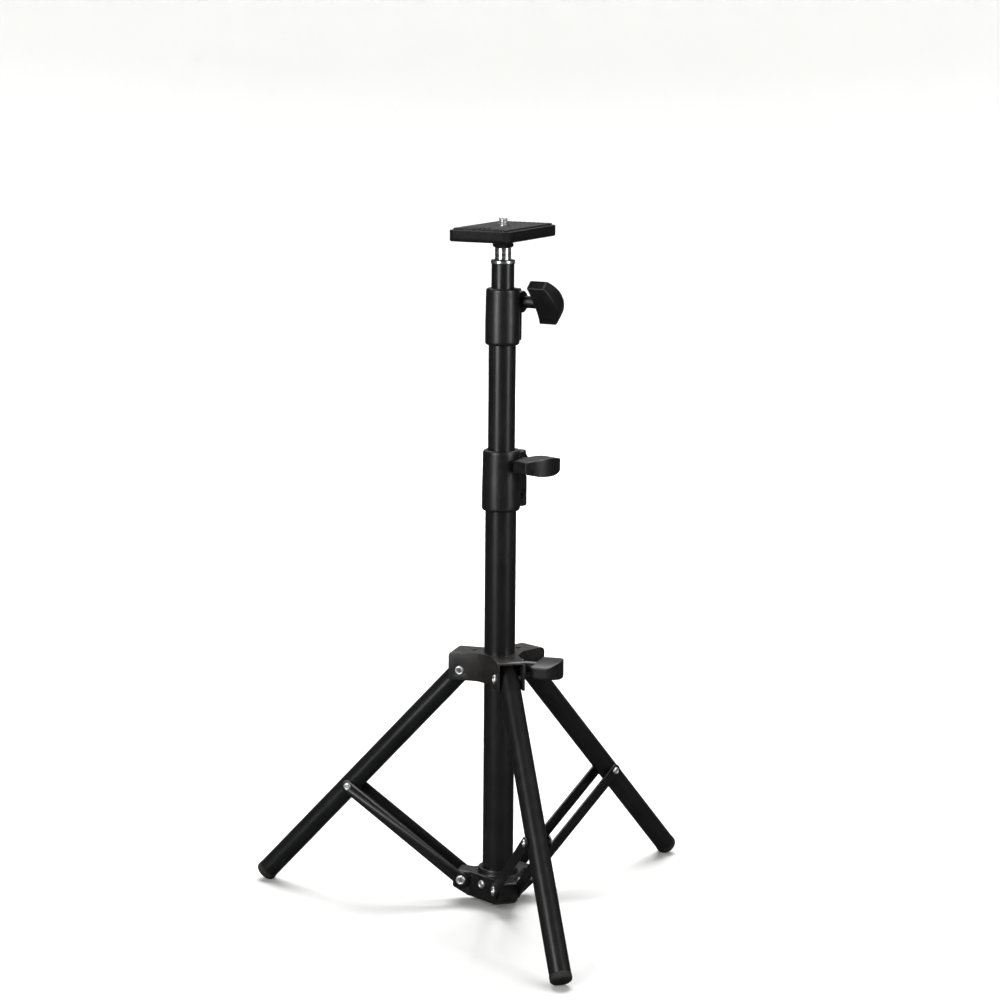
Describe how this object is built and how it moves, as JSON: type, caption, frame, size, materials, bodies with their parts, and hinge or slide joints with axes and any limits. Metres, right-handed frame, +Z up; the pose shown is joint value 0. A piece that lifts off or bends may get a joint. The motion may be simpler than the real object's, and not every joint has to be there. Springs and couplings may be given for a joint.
{
  "type": "folding tripod stand",
  "caption": "Folding telescopic tripod stand: column tubes with clamp collars and wing knobs, a sliding crown, hinged legs with struts, and a small tray head with a screw.",
  "frame": {"origin": "on the floor, on the axis of the column", "axes": "+Z up along the column; the front leg points along -Y, the other two at 120 degrees each side"},
  "size_m": [0.3226, 0.2815, 0.4938],
  "materials": {
    "black_coat": "satin black powder coat",
    "crown_coat": "semi-matt black enamel on pressed steel",
    "black_plastic": "fine textured black nylon",
    "black_rubber": "matt black rubber",
    "rivet_steel": "bright zinc plated steel",
    "spigot_chrome": "polished chrome",
    "screw_black": "black oxide steel"
  },
  "bodies": {
    "base": {"lower_tube": "black_coat", "spider": "black_plastic", "spider_screws": "rivet_steel", "strut_foot_rivets": "rivet_steel", "lower_collar": "black_plastic", "lower_clamp_screw": "screw_black"},
    "crown": {"crown": "crown_coat", "crown_rivets": "rivet_steel"},
    "leg_front": {"leg_front": "black_coat", "foot_front": "black_rubber", "leg_pin_front": "rivet_steel"},
    "leg_right": {"leg_right": "black_coat", "foot_right": "black_rubber", "leg_pin_right": "rivet_steel"},
    "leg_left": {"leg_left": "black_coat", "foot_left": "black_rubber", "leg_pin_left": "rivet_steel"},
    "strut_front": {"strut_front_a": "black_coat", "strut_front_b": "black_coat", "strut_rivets_front": "rivet_steel"},
    "strut_right": {"strut_right_a": "black_coat", "strut_right_b": "black_coat", "strut_rivets_right": "rivet_steel"},
    "strut_left": {"strut_left_a": "black_coat", "strut_left_b": "black_coat", "strut_rivets_left": "rivet_steel"},
    "middle_section": {"mid_tube": "black_coat", "mid_bushing": "black_plastic", "upper_collar": "black_plastic", "upper_clamp_screw": "screw_black"},
    "top_section": {"top_tube": "black_coat", "top_bushing": "black_plastic", "spigot": "spigot_chrome", "head_nut": "screw_black", "head_tray": "black_plastic", "tray_pad": "black_rubber", "head_screw": "rivet_steel"},
    "lower_knob": {"lower_knob": "black_plastic", "lower_knob_screw": "rivet_steel"},
    "upper_knob": {"upper_knob": "black_plastic", "upper_knob_screw": "rivet_steel"},
    "crown_knob": {"crown_knob": "black_plastic", "crown_knob_screw": "rivet_steel"}
  },
  "joints": [
    {"name": "crown_slide", "type": "slide", "parent": "base", "child": "crown", "axis": [0, 0, 1], "range_m": [0, 0.07675]},
    {"name": "leg_front_fold", "type": "hinge", "parent": "crown", "child": "leg_front", "pos_m": [0, -0.0267, 0.17199], "axis": [1, 0, 0], "range_deg": [-0.5, 38.85]},
    {"name": "leg_right_fold", "type": "hinge", "parent": "crown", "child": "leg_right", "pos_m": [0.02312, 0.01335, 0.17199], "axis": [-0.5, 0.866, 0], "range_deg": [-0.5, 38.85]},
    {"name": "leg_left_fold", "type": "hinge", "parent": "crown", "child": "leg_left", "pos_m": [-0.02312, 0.01335, 0.17199], "axis": [-0.5, -0.866, 0], "range_deg": [-0.5, 38.85]},
    {"name": "strut_front_fold", "type": "hinge", "parent": "base", "child": "strut_front", "pos_m": [0, -0.0252, 0.0164], "axis": [1, 0, 0], "range_deg": [-49.34, 0.5]},
    {"name": "strut_right_fold", "type": "hinge", "parent": "base", "child": "strut_right", "pos_m": [0.02182, 0.0126, 0.0164], "axis": [-0.5, 0.866, 0], "range_deg": [-49.34, 0.5]},
    {"name": "strut_left_fold", "type": "hinge", "parent": "base", "child": "strut_left", "pos_m": [-0.02182, 0.0126, 0.0164], "axis": [-0.5, -0.866, 0], "range_deg": [-49.34, 0.5]},
    {"name": "middle_slide", "type": "slide", "parent": "base", "child": "middle_section", "axis": [0, 0, 1], "range_m": [-0.069, 0.12]},
    {"name": "top_slide", "type": "slide", "parent": "middle_section", "child": "top_section", "axis": [0, 0, 1], "range_m": [-0.012, 0.2]},
    {"name": "lower_knob_turn", "type": "hinge", "parent": "base", "child": "lower_knob", "pos_m": [0.01476, 0.00044, 0.321], "axis": [0.5, -0.866, 0], "range_deg": [0, 270]},
    {"name": "upper_knob_turn", "type": "hinge", "parent": "middle_section", "child": "upper_knob", "pos_m": [0.0154, 0.00171, 0.4345], "axis": [0.7547, -0.6561, 0], "range_deg": [0, 270]},
    {"name": "crown_knob_turn", "type": "hinge", "parent": "crown", "child": "crown_knob", "pos_m": [0.01568, -0.00905, 0.17589], "axis": [0.866, -0.5, 0], "range_deg": [0, 270]}
  ],
  "couplings": [
    {"joint": "leg_front_fold", "follows": "crown_slide", "rad_per_m": 8.721},
    {"joint": "leg_right_fold", "follows": "crown_slide", "rad_per_m": 8.721},
    {"joint": "leg_left_fold", "follows": "crown_slide", "rad_per_m": 8.721},
    {"joint": "strut_front_fold", "follows": "crown_slide", "rad_per_m": -11.106},
    {"joint": "strut_right_fold", "follows": "crown_slide", "rad_per_m": -11.106},
    {"joint": "strut_left_fold", "follows": "crown_slide", "rad_per_m": -11.106}
  ]
}
